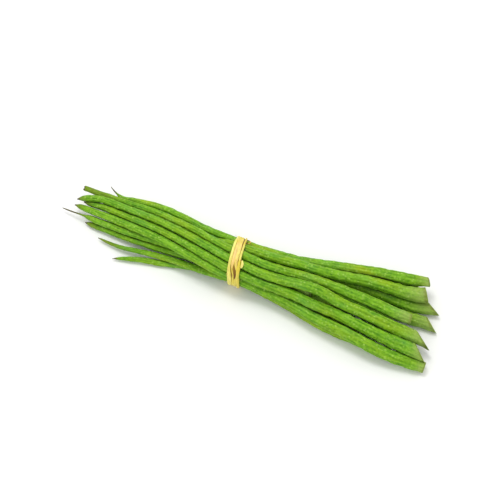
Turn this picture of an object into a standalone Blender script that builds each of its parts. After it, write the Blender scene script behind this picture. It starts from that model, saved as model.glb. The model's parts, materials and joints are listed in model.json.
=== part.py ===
# A bunch of young moringa pods, tied round the middle with a band of dry plant fibre.
# The bunch lies along X, with its tips at -X and its thick cut ends at +X. +Z is up.
# The tie sits at x = 0 while the bunch is laid out, and the bunch is centred at the end.
# Sizes and routes are in millimetres, and the meshes are in metres.

import math
from collections import namedtuple

import bmesh
import bpy
import numpy as np

MM = 0.001

# Form of every pod
RIBS = 9
RIB_DEPTH = 0.10
ANGLE_DEPTH = 0.06
TWIST = math.radians(35)
TIP_SHARE = 0.54
FULL_AT = 0.95
FATTENING = 2.2
NECK_LENGTH = 14.0
SHARP_ANGLE = math.radians(50)
TIP_RING_GAPS = (0.8, 3.0, 8.0, 17.0)
BODY_RINGS = (-165, -135, -105, -75, -50, -30, -10, 10, 30, 50, 70, 90, 110, 130, 150, 170)
END_RING_GAP = 11.0
RING_ROOM = 8.0

# Laying the pods side by side
GAP = 0.40
STATION_STEP = 10.0
FIRST_STATION, LAST_STATION = -200.0, 220.0
ROUNDS = 700
FREE_SHARE = 0.8
PULL_HOME = 0.03
STIFFNESS = 0.5
PUSH = 0.3
LEAST_DISTANCE = 1e-6

# The fibre tie
TIE_WIDTH = 12.0
TIE_GAP = 0.4
TIE_FLOOR = 1.7
TIE_REST = 0.6
TIE_HALF_WIDTH, TIE_HALF_HEIGHT = 23.6, 21.6
TIE_MIDDLE = TIE_FLOOR + TIE_HALF_HEIGHT
TIE_REACH = 11.0
TIE_LEAN = 0.14
TIE_SIDES = 48
OUTLINE_STEPS = 720
LEAST_FACING = 0.05

# The tie's three strands, side by side: place across the band, and thickness there
TIE_STRANDS = [
    (-6.0, 0.6), (-5.2, 1.5), (-4.0, 1.5), (-3.2, 0.9), (-2.3, 1.3),
    (1.7, 1.3), (2.6, 0.9), (3.5, 1.7), (5.2, 1.7), (6.0, 0.6),
]

# A loose knuckle of fibre stands out at the tie's edge
EAR_ANGLE = math.radians(32)
EAR_PLACE = 7.3
EAR_SIZE = (2.4, 4.8, 1.0)
EAR_LIFT = 1.4
EAR_SEGMENTS, EAR_RINGS = 14, 10

# girth: diameter at the cut end. start: radius of the very tip. thread: length of a dry style.
# fill: how slowly the tip fattens. slant: lean of the cut in degrees, far side shorter.
# neck: narrowing at the cut, flaring if below zero. turn: how far the ribs are turned, in degrees.
Pod = namedtuple("Pod", "name girth start thread fill slant neck turn route")

PODS = [
    Pod("pod_01", 12.6, 0.7, 8, 8, 15, 0.25, 10, [
        (-155, 40.5, 20), (-148, 36, 18), (-137, 31.5, 18), (-121, 32.5, 21), (-93, 30.5, 26),
        (-65, 25.5, 30), (-38, 18.5, 32), (0, 17, 31), (26, 16.5, 31.5), (45, 17.5, 30),
        (64, 20, 28), (88, 25, 27), (108, 29, 26), (127, 33, 24.5), (147, 36.5, 24),
        (167, 39.5, 22.5), (187, 44.5, 20)]),
    Pod("pod_02", 13.0, 2.9, 0, 34, 6, 0.15, 55, [
        (-182, 33.5, 13), (-148, 29, 18), (-119, 26, 23), (-91, 21, 28), (-64, 15.5, 33),
        (-36, 8.5, 37), (0, 0.5, 40.4), (26, -3, 39.5), (45, -2.5, 37), (64, -0.5, 34.5),
        (89, 1, 32), (108, 1.5, 30), (127, 0.5, 28.5), (147, -0.5, 26), (167, -2, 24),
        (182, -2.5, 22.5)]),
    Pod("pod_03", 13.8, 0.9, 0, 5, 52, 0.06, 20, [
        (-184, 18, 13), (-174, 20, 15), (-146, 21, 19), (-118, 18, 24), (-90, 13, 29),
        (-62, 6, 34), (-35, -0.5, 37), (0, -9, 38.5), (26, -12, 36.5), (45, -11.5, 34),
        (64, -9.5, 32), (89, -9, 29), (108, -11.6, 27), (127, -13.2, 25), (147, -15.2, 23.5),
        (167, -16.5, 21), (199, -18.5, 17)]),
    Pod("pod_04", 14.2, 0.9, 0, 5, 44, 0.0, 70, [
        (-177, 17.5, 12), (-165, 17.5, 14.5), (-146, 15.5, 18), (-117, 11.5, 22.5), (-90, 6, 27),
        (-62, 0, 31), (-35, -8, 33.5), (0, -15.8, 32.5), (26, -17.7, 29.5), (45, -17.5, 28),
        (64, -17, 26), (89, -18.6, 24), (108, -20.4, 22.5), (127, -23.5, 21.5), (147, -26.2, 20),
        (167, -30, 18), (200, -33, 14)]),
    Pod("pod_05", 14.0, 0.8, 0, 7, -4, 0.22, 35, [
        (-185, 14, 9), (-169, 12.5, 12), (-146, 8, 16), (-118, 3, 19.5), (-90, -1, 23),
        (-62, -7, 26), (-36, -14, 27), (0, -19, 24), (26, -19, 20.5), (45, -20.5, 19),
        (64, -23.2, 19), (89, -29, 19), (108, -33, 18.5), (127, -36, 18), (147, -39.8, 16),
        (167, -41, 13), (187, -39.6, 9.5), (208, -38.4, 7)]),
    Pod("pod_06", 12.8, 0.8, 0, 36, 20, 0.1, 5, [
        (-148, -12.5, 4), (-129, -15.5, 5), (-112, -16, 7), (-91, -14.5, 8.5), (-65, -15, 10.5),
        (-38, -16.5, 12.5), (0, -17, 15), (26, -16, 11), (45, -17.5, 8.5), (63, -19, 7.5),
        (88, -23.6, 6.5), (113, -28.4, 6), (138, -32.8, 6), (157, -35.4, 6)]),
    Pod("pod_07", 12.6, 0.5, 0, 14, 10, 0.1, 60, [
        (-125, -30, 2), (-117, -27, 3), (-107, -24.5, 4), (-92, -21, 4), (-65, -16, 5),
        (-39, -11.5, 6.5), (0, -10, 9), (30, -8, 7), (63, -10, 6), (108, -16, 6),
        (134, -19, 6)]),
    Pod("pod_08", 13.0, 0.9, 0, 6, 25, 0.0, 15, [
        (-168, 0, 4), (-145, -1.5, 5.5), (-118, -3.5, 8), (-91, -5.5, 11), (-40, -7, 17),
        (0, -5, 18.5), (60, -7, 14.5), (100, -7.5, 8.5), (118, -9.5, 7)]),
    Pod("pod_09", 13.0, 0.8, 0, 12, 14, -0.3, 45, [
        (-166, 27, 8), (-120, 27, 12), (-75, 20, 19), (-38, 12, 27), (0, 9.5, 37),
        (26, 8.5, 37.5), (45, 9.5, 35.5), (64, 12, 32), (89, 14, 30), (108, 17.5, 27.5),
        (127, 21.5, 23.5), (147, 23.5, 21.5), (167, 24.5, 19), (189, 28.5, 18)]),
    Pod("pod_10", 13.2, 0.8, 0, 12, 38, 0.0, 30, [
        (-158, 20, 8), (-100, 14, 13), (-50, 10, 18), (0, 5, 18.5), (60, 9, 16.5),
        (100, 15, 13), (141, 20, 9), (171, 20, 7), (199, 25, 7.5)]),
    Pod("pod_11", 13.2, 0.8, 0, 12, 44, 0.05, 65, [
        (-150, 14, 5), (-80, 8.5, 6), (0, 8, 7.5), (60, 10, 6), (100, 12.5, 6), (161, 8.5, 6),
        (202, 7, 6)]),
    Pod("pod_12", 12.8, 0.8, 0, 12, 18, 0.0, 25, [
        (-138, 6, 6), (-80, 1, 6), (0, -1.4, 6.5), (60, -0.5, 6), (110, 1, 6), (166, -3.5, 6)]),
    Pod("pod_13", 12.6, 0.8, 0, 12, 16, 0.1, 12, [
        (-155, 24, 8), (-80, 21, 14), (0, 19, 22), (60, 25, 17), (110, 35, 11), (150, 41.5, 7.5),
        (178, 41, 7)]),
    Pod("pod_14", 12.8, 0.8, 0, 12, 12, 0.1, 0, [
        (-150, 24, 5), (-80, 17, 7), (0, 15.8, 13), (60, 19.5, 8), (110, 27, 6), (150, 31, 6),
        (163, 31, 6)]),
    Pod("pod_15", 12.8, 0.8, 0, 12, 30, 0.05, 75, [
        (-160, 25, 11), (-80, 10, 22), (-38, 3, 28), (0, 4.5, 29), (60, 5.5, 25),
        (98, 7.5, 20)]),
    Pod("pod_16", 13.0, 0.7, 27, 5, 22, 0.0, 40, [
        (-197, 9, 8), (-183, 6.5, 9), (-168, 4.5, 11), (-145, 1.5, 13), (-118, -1, 14.5),
        (-90, -3, 18), (-40, -7, 25), (0, -5, 28.5), (60, -5, 23.5), (80, -8, 21)]),
]

SKIN_COLOUR = (0.20, 0.43, 0.045, 1.0)
SKIN_ROUGHNESS = 0.55
FIBRE_COLOUR = (0.80, 0.62, 0.18, 1.0)
FIBRE_ROUGHNESS = 0.6


def clear_scene():
    for thing in list(bpy.data.objects):
        bpy.data.objects.remove(thing, do_unlink=True)


def make_material(name, colour, roughness):
    material = bpy.data.materials.new(name)
    material.use_nodes = True
    shader = material.node_tree.nodes["Principled BSDF"]
    shader.inputs["Base Color"].default_value = colour
    shader.inputs["Roughness"].default_value = roughness
    shader.inputs["Metallic"].default_value = 0.0
    material.diffuse_color = colour
    return material


# A smooth curve through points that run along X: it gives (y, z) at any x.
def route_at(route, xs):
    points = np.array(route, float)
    xs = np.atleast_1d(np.asarray(xs, float))
    slopes = np.gradient(points[:, 1:], points[:, 0], axis=0)
    inside = np.clip(xs, points[0, 0], points[-1, 0])
    k = np.searchsorted(points[:, 0], inside, side="right") - 1
    k = np.clip(k, 0, len(points) - 2)
    span = (points[k + 1, 0] - points[k, 0])[:, None]
    t = (inside - points[k, 0])[:, None] / span
    near = (2 * t**3 - 3 * t**2 + 1) * points[k, 1:] + (t**3 - 2 * t**2 + t) * span * slopes[k]
    far = (3 * t**2 - 2 * t**3) * points[k + 1, 1:] + (t**3 - t**2) * span * slopes[k + 1]
    past = (xs - inside)[:, None]
    return near + far + past * np.where(past < 0, slopes[0], slopes[-1])


# A pod is slimmest at its tip, fattens most in its far half and narrows a little at the cut.
def radius_at(pod, xs):
    tip, end = pod.route[0][0], pod.route[-1][0]
    from_tip = np.clip(np.asarray(xs, float) - tip, 0, None)
    share = np.clip(from_tip / (end - tip) / FULL_AT, 0, 1)
    body = 0.5 * pod.girth * (TIP_SHARE + (1 - TIP_SHARE) * share**FATTENING)
    body = body * (1 - pod.neck * np.exp(-np.clip(end - xs, 0, None) / NECK_LENGTH))
    fullness = 1 - np.exp(-np.clip(from_tip - pod.thread, 0, None) / pod.fill)
    return pod.start + (body - pod.start) * fullness


# The pods start on their routes and are pushed apart until each pair has a gap between them.
def lay_pods():
    xs = np.arange(FIRST_STATION, LAST_STATION + 1, STATION_STEP)
    home = np.array([route_at(pod.route, xs) for pod in PODS])
    radii = np.array([radius_at(pod, xs) for pod in PODS])
    present = np.array([
        (xs >= pod.route[0][0] - STATION_STEP) & (xs <= pod.route[-1][0] + STATION_STEP)
        for pod in PODS])
    floor = radii + np.where(np.abs(xs) <= TIE_REACH, TIE_FLOOR, 0.0)
    first, second = np.triu_indices(len(PODS), 1)
    both = present[first] & present[second]
    wanted = np.where(both, radii[first] + radii[second] + GAP, 0.0)[..., None]
    centres = home.copy()
    for turn in range(ROUNDS):
        if turn < FREE_SHARE * ROUNDS:
            straighten(centres, home)
            hold_in_tie(centres, radii, np.abs(xs) <= TIE_REACH)
        for _ in range(2):
            push_pairs(centres, first, second, wanted)
            centres[..., 1] = np.maximum(centres[..., 1], floor)
    return xs, centres, radii, present


def straighten(centres, home):
    centres += (home - centres) * PULL_HOME
    bend = home[:, 1:-1] - (home[:, :-2] + home[:, 2:]) / 2
    even = (centres[:, :-2] + centres[:, 2:]) / 2 + bend
    centres[:, 1:-1] += (even - centres[:, 1:-1]) * STIFFNESS
    centres[:, 0] = 2 * centres[:, 1] - centres[:, 2]
    centres[:, -1] = 2 * centres[:, -2] - centres[:, -3]


def hold_in_tie(centres, radii, tied):
    y = centres[:, tied, 0]
    z = centres[:, tied, 1] - TIE_MIDDLE
    half_width = TIE_HALF_WIDTH - radii[:, tied]
    half_height = TIE_HALF_HEIGHT - radii[:, tied]
    outward = np.maximum(np.hypot(y / half_width, z / half_height), 1.0)
    centres[:, tied, 0] = y / outward
    centres[:, tied, 1] = z / outward + TIE_MIDDLE


def push_pairs(centres, first, second, wanted):
    between = centres[second] - centres[first]
    distance = np.maximum(np.linalg.norm(between, axis=-1, keepdims=True), LEAST_DISTANCE)
    push = np.maximum(wanted - distance, 0.0) * PUSH * between / distance
    np.subtract.at(centres, first, push)
    np.add.at(centres, second, push)


# Ribs stand out round a pod, and the whole section is slightly three-angled.
def section(angle, turned):
    rib = 0.5 - 0.5 * math.cos(RIBS * (angle - turned))
    side = 0.5 - 0.5 * math.cos(3 * (angle - turned))
    return 1 - RIB_DEPTH * rib - ANGLE_DEPTH * side


# Rings lie closer together near the tip and where the tie bends the pods.
def ring_places(pod):
    tip, end = pod.route[0][0], pod.route[-1][0]
    places = [tip + gap for gap in TIP_RING_GAPS]
    if pod.thread:
        places = [tip + TIP_RING_GAPS[0], tip + 0.5 * pod.thread]
        places += [tip + pod.thread + gap for gap in TIP_RING_GAPS]
    last = end - END_RING_GAP
    first_free, last_free = places[-1] + RING_ROOM, last - RING_ROOM
    places += [x for x in BODY_RINGS if first_free < x < last_free]
    return places + [last, end]


def add_ring(mesh, centre, along, radius, turned, slant):
    along = along / np.linalg.norm(along)
    side = np.cross((0, 0, 1), along)
    side /= np.linalg.norm(side)
    up = np.cross(along, side)
    ring = []
    for i in range(2 * RIBS):
        angle = math.pi * i / RIBS
        reach = radius * section(angle, 0.0)
        across, high = math.cos(angle + turned), math.sin(angle + turned)
        point = centre + reach * (across * side + high * up)
        point -= reach * across * math.tan(slant) * along
        ring.append(mesh.verts.new(point * MM))
    return ring


def bridge(mesh, ring, following):
    count = len(ring)
    for i in range(count):
        j = (i + 1) % count
        mesh.faces.new((ring[i], ring[j], following[j], following[i]))


def build_pod(pod, xs, centres, present, material):
    curve = [(x, *c) for x, c, here in zip(xs, centres, present) if here]
    tip, end = pod.route[0][0], pod.route[-1][0]
    places = ring_places(pod)
    seat = np.array([0.0, *route_at(curve, 0.0)[0]])
    mesh = bmesh.new()
    point = mesh.verts.new((np.array([tip, *route_at(curve, tip)[0]]) - seat) * MM)
    rings = []
    for x in places:
        before, here, after = route_at(curve, [x - 1, x, x + 1])
        along = np.array([2.0, *(after - before)])
        slant = math.radians(pod.slant) if x == end else 0.0
        turned = math.radians(pod.turn) + TWIST * (x - tip) / (end - tip)
        centre = np.array([x, *here]) - seat
        rings.append(add_ring(mesh, centre, along, float(radius_at(pod, x)), turned, slant))
    for i in range(2 * RIBS):
        mesh.faces.new((point, rings[0][(i + 1) % (2 * RIBS)], rings[0][i]))
    for ring, following in zip(rings, rings[1:]):
        bridge(mesh, following, ring)
    mesh.faces.new(rings[-1])
    return finish_object(mesh, pod.name, seat, material)


def finish_object(mesh, name, place, material):
    bmesh.ops.recalc_face_normals(mesh, faces=mesh.faces)
    data = bpy.data.meshes.new(name)
    mesh.to_mesh(data)
    mesh.free()
    data.shade_smooth()
    data.set_sharp_from_angle(angle=SHARP_ANGLE)
    data.materials.append(material)
    thing = bpy.data.objects.new(name, data)
    thing.location = [float(v) * MM for v in place]
    bpy.context.scene.collection.objects.link(thing)
    return thing


# How far the taut band lies from the middle, in each direction round the pods.
def taut_outline(xs, centres, radii):
    tied = np.abs(xs) <= TIE_REACH
    y = centres[:, tied, 0].ravel()
    z = centres[:, tied, 1].ravel() - TIE_MIDDLE
    reach = radii[:, tied].ravel() + TIE_GAP
    angles = np.linspace(0, 2 * math.pi, OUTLINE_STEPS, endpoint=False)
    support = np.max(np.outer(np.cos(angles), y) + np.outer(np.sin(angles), z) + reach, axis=1)

    def outline(angle):
        lean = np.cos(angles - angle)
        facing = lean > LEAST_FACING
        return float(np.min(support[facing] / lean[facing]))

    return outline


def tie_point(outline, angle, place, thickness):
    reach = outline(angle) + thickness
    y, z = reach * math.cos(angle), reach * math.sin(angle) + TIE_MIDDLE
    return place - TIE_LEAN * y, y, z


def build_tie(outline, material):
    mesh = bmesh.new()
    half = TIE_WIDTH / 2
    thickest = max(thickness for _, thickness in TIE_STRANDS)
    rings = []
    for i in range(TIE_SIDES):
        angle = 2 * math.pi * i / TIE_SIDES
        resting = tie_point(outline, angle, 0, thickest)[2] <= TIE_REST
        points = [tie_point(outline, angle, place, thickness) for place, thickness in TIE_STRANDS]
        if resting:
            points = [(x, y, 0.0) for x, y, _ in points]
        points += [tie_point(outline, angle, place, 0.0) for place in (half, -half)]
        rings.append([mesh.verts.new([v * MM for v in point]) for point in points])
    for i, ring in enumerate(rings):
        bridge(mesh, ring, rings[(i + 1) % TIE_SIDES])
    tie = finish_object(mesh, "fibre_tie", (0, 0, 0), material)
    fuse(tie, build_ear(outline, material))
    return tie


def build_ear(outline, material):
    angle = math.pi / 2 + EAR_ANGLE
    place = tie_point(outline, angle, EAR_PLACE, EAR_LIFT)
    mesh = bmesh.new()
    bmesh.ops.create_uvsphere(mesh, u_segments=EAR_SEGMENTS, v_segments=EAR_RINGS, radius=1.0)
    for vert in mesh.verts:
        vert.co = [share * size * MM for share, size in zip(vert.co, EAR_SIZE)]
    ear = finish_object(mesh, "ear", place, material)
    ear.rotation_euler = (EAR_ANGLE, 0, 0)
    return ear


def fuse(body, addition):
    union = body.modifiers.new("fuse", "BOOLEAN")
    union.operation = "UNION"
    union.solver = "EXACT"
    union.object = addition
    bpy.context.view_layer.update()
    graph = bpy.context.evaluated_depsgraph_get()
    fused = bpy.data.meshes.new_from_object(body.evaluated_get(graph))
    body.modifiers.clear()
    body.data = fused
    bpy.data.objects.remove(addition, do_unlink=True)


# The bunch hangs from one empty, moved so that the origin is below the middle of the whole.
def centre_bunch(things):
    root = bpy.data.objects.new("bunch", None)
    bpy.context.scene.collection.objects.link(root)
    corners = np.array([
        thing.location + vert.co for thing in things for vert in thing.data.vertices])
    middle = (corners.min(axis=0) + corners.max(axis=0)) / 2
    for thing in things:
        thing.parent = root
    root.location = (-middle[0], -middle[1], -corners[:, 2].min())


def main():
    clear_scene()
    skin = make_material("pod_skin", SKIN_COLOUR, SKIN_ROUGHNESS)
    fibre = make_material("tie_fibre", FIBRE_COLOUR, FIBRE_ROUGHNESS)
    xs, centres, radii, present = lay_pods()
    things = [
        build_pod(pod, xs, centres[i], present[i], skin) for i, pod in enumerate(PODS)]
    things.append(build_tie(taut_outline(xs, centres, radii), fibre))
    centre_bunch(things)


main()
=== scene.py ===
import json
import math

import bmesh
import bpy
import numpy as np
from mathutils import Matrix, Vector

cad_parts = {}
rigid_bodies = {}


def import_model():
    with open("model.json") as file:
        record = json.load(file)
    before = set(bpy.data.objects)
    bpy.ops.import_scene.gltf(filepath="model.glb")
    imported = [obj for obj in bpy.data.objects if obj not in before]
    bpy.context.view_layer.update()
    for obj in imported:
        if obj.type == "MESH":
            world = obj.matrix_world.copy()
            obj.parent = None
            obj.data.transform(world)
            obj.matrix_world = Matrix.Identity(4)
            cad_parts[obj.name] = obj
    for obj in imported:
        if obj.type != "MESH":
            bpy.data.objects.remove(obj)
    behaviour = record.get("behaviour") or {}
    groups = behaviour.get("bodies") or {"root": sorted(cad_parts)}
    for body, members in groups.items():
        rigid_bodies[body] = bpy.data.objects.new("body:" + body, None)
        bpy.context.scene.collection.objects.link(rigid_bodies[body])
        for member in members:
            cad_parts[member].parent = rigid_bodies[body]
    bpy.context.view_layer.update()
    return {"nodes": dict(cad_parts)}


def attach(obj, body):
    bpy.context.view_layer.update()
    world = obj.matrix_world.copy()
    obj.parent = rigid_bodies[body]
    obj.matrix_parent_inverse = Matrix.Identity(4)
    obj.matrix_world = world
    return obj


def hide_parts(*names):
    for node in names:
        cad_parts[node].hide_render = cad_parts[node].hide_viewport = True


for leftover in list(bpy.data.objects):
    bpy.data.objects.remove(leftover)
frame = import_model()
mm = 0.001
fullTurn = 2 * math.pi
print("stage: frame loaded,", len(frame["nodes"]), "nodes")


# Small tools for shapes

# A natural cubic spline through (xs, ys), read at new places; past the ends it runs straight.
def smoothCurve(xs, ys, at):
    count = len(xs)
    gap = np.diff(xs)
    rise = np.diff(ys, axis=0) / gap[:, None]
    system = np.eye(count)
    load = np.zeros((count, ys.shape[1]))
    for k in range(1, count - 1):
        system[k, k - 1:k + 2] = gap[k - 1], 2 * (gap[k - 1] + gap[k]), gap[k]
        load[k] = 6 * (rise[k] - rise[k - 1])
    bend = np.linalg.solve(system, load)
    inside = np.clip(at, xs[0], xs[-1])
    k = np.clip(np.searchsorted(xs, inside, side="right") - 1, 0, count - 2)
    h = gap[k][:, None]
    left = (inside - xs[k])[:, None]
    right = h - left
    value = (bend[k] * right**3 + bend[k + 1] * left**3) / (6 * h)
    value += (ys[k] / h - bend[k] * h / 6) * right + (ys[k + 1] / h - bend[k + 1] * h / 6) * left
    startSlope = rise[0] - gap[0] * bend[1] / 6
    endSlope = rise[-1] + gap[-1] * bend[-2] / 6
    past = (at - inside)[:, None]
    return value + past * np.where(past < 0, startSlope, endSlope)


# A curve through (xs, ys) that never overshoots, for girths.
def steadyCurve(xs, ys, at):
    gap = np.diff(xs)
    rise = np.diff(ys) / gap
    slope = np.zeros(len(xs))
    same = rise[:-1] * rise[1:] > 0
    slope[1:-1][same] = 2 * rise[:-1][same] * rise[1:][same] / (rise[:-1] + rise[1:])[same]
    slope[0], slope[-1] = rise[0], rise[-1]
    k = np.clip(np.searchsorted(xs, at, side="right") - 1, 0, len(xs) - 2)
    t = np.clip((at - xs[k]) / gap[k], 0, 1)
    near = (2 * t**3 - 3 * t**2 + 1) * ys[k] + (t**3 - 2 * t**2 + t) * gap[k] * slope[k]
    return near + (3 * t**2 - 2 * t**3) * ys[k + 1] + (t**3 - t**2) * gap[k] * slope[k + 1]


# The mean of some uneven waves, from about -1 to 1: the same seed always gives the same waves.
def sumWaves(seed, phases, gain=1.6):
    draw = np.random.default_rng(seed)
    total = 0.0
    for phase in phases:
        total = total + np.sin(phase + draw.uniform(0, fullTurn)) * draw.uniform(0.5, 1)
    return total / len(phases) * gain


# Waves along a line, from the longest to the shortest.
def waves(seed, at, longest, shortest, count=5):
    shares = np.linspace(0, 1, count)
    return sumWaves(seed, [fullTurn * at / (longest * (shortest / longest) ** share) for share in shares])


# Waves round a closed loop, in whole numbers from few to many.
def loopWaves(seed, angle, few, many, count=5):
    return sumWaves(seed, [number * angle for number in np.linspace(few, many, count).round()])


def smoothStep(low, high, value):
    t = np.clip((value - low) / (high - low), 0, 1)
    return t * t * (3 - 2 * t)


# Rises between the first two places, stays at 1, and falls between the last two.
def between(places, value):
    return smoothStep(places[0], places[1], value) * (1 - smoothStep(places[2], places[3], value))


def anglesRound(count):
    return np.linspace(0, fullTurn, count, endpoint=False)


def makePiece(name, points, faces, materials, faceMaterials=None, marks=None):
    mesh = bpy.data.meshes.new(name)
    mesh.from_pydata((np.asarray(points) * mm).tolist(), [], faces)
    for material in materials:
        mesh.materials.append(material)
    if faceMaterials is not None:
        mesh.polygons.foreach_set("material_index", np.asarray(faceMaterials, np.int32))
    for markName, values in (marks or {}).items():
        values = np.asarray(values, np.float32)
        kind = "FLOAT_VECTOR" if values.ndim == 2 else "FLOAT"
        mark = mesh.attributes.new(markName, kind, "POINT")
        mark.data.foreach_set("vector" if values.ndim == 2 else "value", values.ravel())
    mesh.shade_smooth()
    mesh.update()
    piece = bpy.data.objects.new(name, mesh)
    bpy.context.scene.collection.objects.link(piece)
    return piece


# Quads between closed rings of the same length that follow one another.
def ringFaces(rings, around, backToStart=False):
    faces = []
    for i in range(rings if backToStart else rings - 1):
        a, b = i * around, ((i + 1) % rings) * around
        faces += [(a + j, a + (j + 1) % around, b + (j + 1) % around, b + j) for j in range(around)]
    return faces


# Node tools for materials

# settings: constants of the shader's own sockets, with _ for a space.
def newMaterial(name, roughness, **settings):
    material = bpy.data.materials.new(name)
    material.use_nodes = True
    shader = material.node_tree.nodes["Principled BSDF"]
    shader.inputs["Roughness"].default_value = roughness
    for socket, value in settings.items():
        shader.inputs[socket.replace("_", " ")].default_value = value
    return material, material.node_tree, shader


def addNode(tree, kind, settings=None, **links):
    node = tree.nodes.new(kind)
    for key, value in (settings or {}).items():
        setattr(node, key, value)
    for socket, value in links.items():
        plug(tree, node, socket.replace("_", " "), value)
    return node


# A socket goes by its name, or by n and its number. The value is plain or another socket.
def plug(tree, node, socket, value):
    numbered = socket[0] == "n" and socket[1:].isdigit()
    target = node.inputs[int(socket[1:]) if numbered else socket]
    if isinstance(value, bpy.types.NodeSocket):
        tree.links.new(value, target)
    else:
        target.default_value = value


def doMath(tree, operation, first, second=0.0, third=None):
    node = addNode(tree, "ShaderNodeMath", {"operation": operation}, n0=first, n1=second)
    if third is not None:
        plug(tree, node, "n2", third)
    return node.outputs[0]


# A Mix node takes its amount at 0 and its colours at 6 and 7, and gives a colour at 2.
def blendColour(tree, amount, under, over, blendType="MIX"):
    settings = {"data_type": "RGBA", "blend_type": blendType}
    return addNode(tree, "ShaderNodeMix", settings, n0=amount, n6=under, n7=over).outputs[2]


# Lays colours over one another in turn, each by a mask times an amount.
def layOver(tree, colour, layers):
    for over, mask, amount in layers:
        colour = blendColour(tree, doMath(tree, "MULTIPLY", mask, amount), colour, over)
    return colour


# The sum of named signals, each times its own weight, on top of a start value.
def weighedSum(tree, signals, weights, start=0.0):
    total = start
    for name, weight in weights.items():
        total = doMath(tree, "MULTIPLY_ADD", signals[name], weight, total)
    return total


def readMark(tree, name, output="Fac"):
    return addNode(tree, "ShaderNodeAttribute", {"attribute_name": name}).outputs[output]


def mapRange(tree, value, low, high, toLow=0.0, toHigh=1.0):
    node = addNode(tree, "ShaderNodeMapRange", {"interpolation_type": "SMOOTHSTEP"}, Value=value)
    for socket, number in zip(("From Min", "From Max", "To Min", "To Max"), (low, high, toLow, toHigh)):
        plug(tree, node, socket, number)
    return node.outputs[0]


# A node group that takes a place on the piece and some numbers, and gives out masks.
def newGroup(name, masks, **numbers):
    group = bpy.data.node_groups.new(name, "ShaderNodeTree")
    group.interface.new_socket("Place", in_out="INPUT", socket_type="NodeSocketVector")
    for socketName, default in numbers.items():
        socket = group.interface.new_socket(socketName, in_out="INPUT", socket_type="NodeSocketFloat")
        socket.default_value = default
    for socketName in masks:
        group.interface.new_socket(socketName, in_out="OUTPUT", socket_type="NodeSocketFloat")
    return group, group.nodes.new("NodeGroupInput"), group.nodes.new("NodeGroupOutput")


# The place on the piece, made smaller along it and across it.
def scalePlace(group, place, along, across):
    scale = addNode(group, "ShaderNodeCombineXYZ", X=along, Y=across, Z=across).outputs[0]
    return addNode(group, "ShaderNodeVectorMath", {"operation": "MULTIPLY"}, n0=place, n1=scale).outputs[0]


# Long thin marks that run with the grain: the place is (along, across, up) in millimetres.
def buildGrainGroup():
    group, given, result = newGroup(
        "grain", ("Mask", "Raw"), Length=24.0, Width=1.2, Low=0.35, High=0.65, Seed=0.0)
    along = doMath(group, "DIVIDE", 1.0, given.outputs["Length"])
    across = doMath(group, "DIVIDE", 1.0, given.outputs["Width"])
    noise = addNode(group, "ShaderNodeTexNoise", {"noise_dimensions": "4D"},
                    Vector=scalePlace(group, given.outputs["Place"], along, across),
                    W=given.outputs["Seed"], Scale=1.0, Detail=3.0, Roughness=0.55)
    mask = mapRange(group, noise.outputs["Fac"], given.outputs["Low"], given.outputs["High"])
    plug(group, result, "Mask", mask)
    plug(group, result, "Raw", noise.outputs["Fac"])
    return group


# Small scattered dots, some strong and some faint, from 0 to 1.
def buildSpeckGroup(faintest=0.3):
    group, given, result = newGroup(
        "specks", ("Mask",), Spacing=1.5, Stretch=1.0, Size=0.3, Share=0.5)
    across = doMath(group, "DIVIDE", 1.0, given.outputs["Spacing"])
    along = doMath(group, "DIVIDE", across, given.outputs["Stretch"])
    cells = addNode(group, "ShaderNodeTexVoronoi", Scale=1.0,
                    Vector=scalePlace(group, given.outputs["Place"], along, across))
    dot = doMath(group, "SUBTRACT", 1.0, doMath(
        group, "DIVIDE", cells.outputs["Distance"], given.outputs["Size"]))
    dot = doMath(group, "MAXIMUM", dot, 0.0)
    chance = addNode(group, "ShaderNodeSeparateColor", Color=cells.outputs["Color"])
    chosen = doMath(group, "LESS_THAN", chance.outputs[0], given.outputs["Share"])
    strength = doMath(group, "MULTIPLY_ADD", chance.outputs[1], 1 - faintest, faintest)
    mask = doMath(group, "MULTIPLY", doMath(group, "MULTIPLY", dot, chosen), strength)
    plug(group, result, "Mask", mask)
    return group


grainGroup = buildGrainGroup()
speckGroup = buildSpeckGroup()


# A material with its signals by name: the mesh's marks, and the look's grain and dots. A grain's
# mask has the grain's name, and its even noise that name with Raw after it.
def startMaterial(name, look, placeName, markNames):
    material, tree, shader = newMaterial(name, look["roughness"], **look["shader"])
    place = readMark(tree, placeName, "Vector")
    signals = {mark: readMark(tree, mark) for mark in markNames}
    for grain, settings in look["grain"].items():
        node = addNode(tree, "ShaderNodeGroup", {"node_tree": grainGroup}, Place=place, **settings)
        signals[grain], signals[grain + "Raw"] = node.outputs["Mask"], node.outputs["Raw"]
    for dots, settings in look.get("dots", {}).items():
        node = addNode(tree, "ShaderNodeGroup", {"node_tree": speckGroup}, Place=place, **settings)
        signals[dots] = node.outputs["Mask"]
    return material, tree, shader, signals


def finishMaterial(tree, shader, signals, look, colour):
    plug(tree, shader, "Base Color", colour)
    height = weighedSum(tree, signals, look["relief"])
    bump = addNode(tree, "ShaderNodeBump", Height=height, **look["bump"])
    plug(tree, shader, "Normal", bump.outputs[0])


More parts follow.
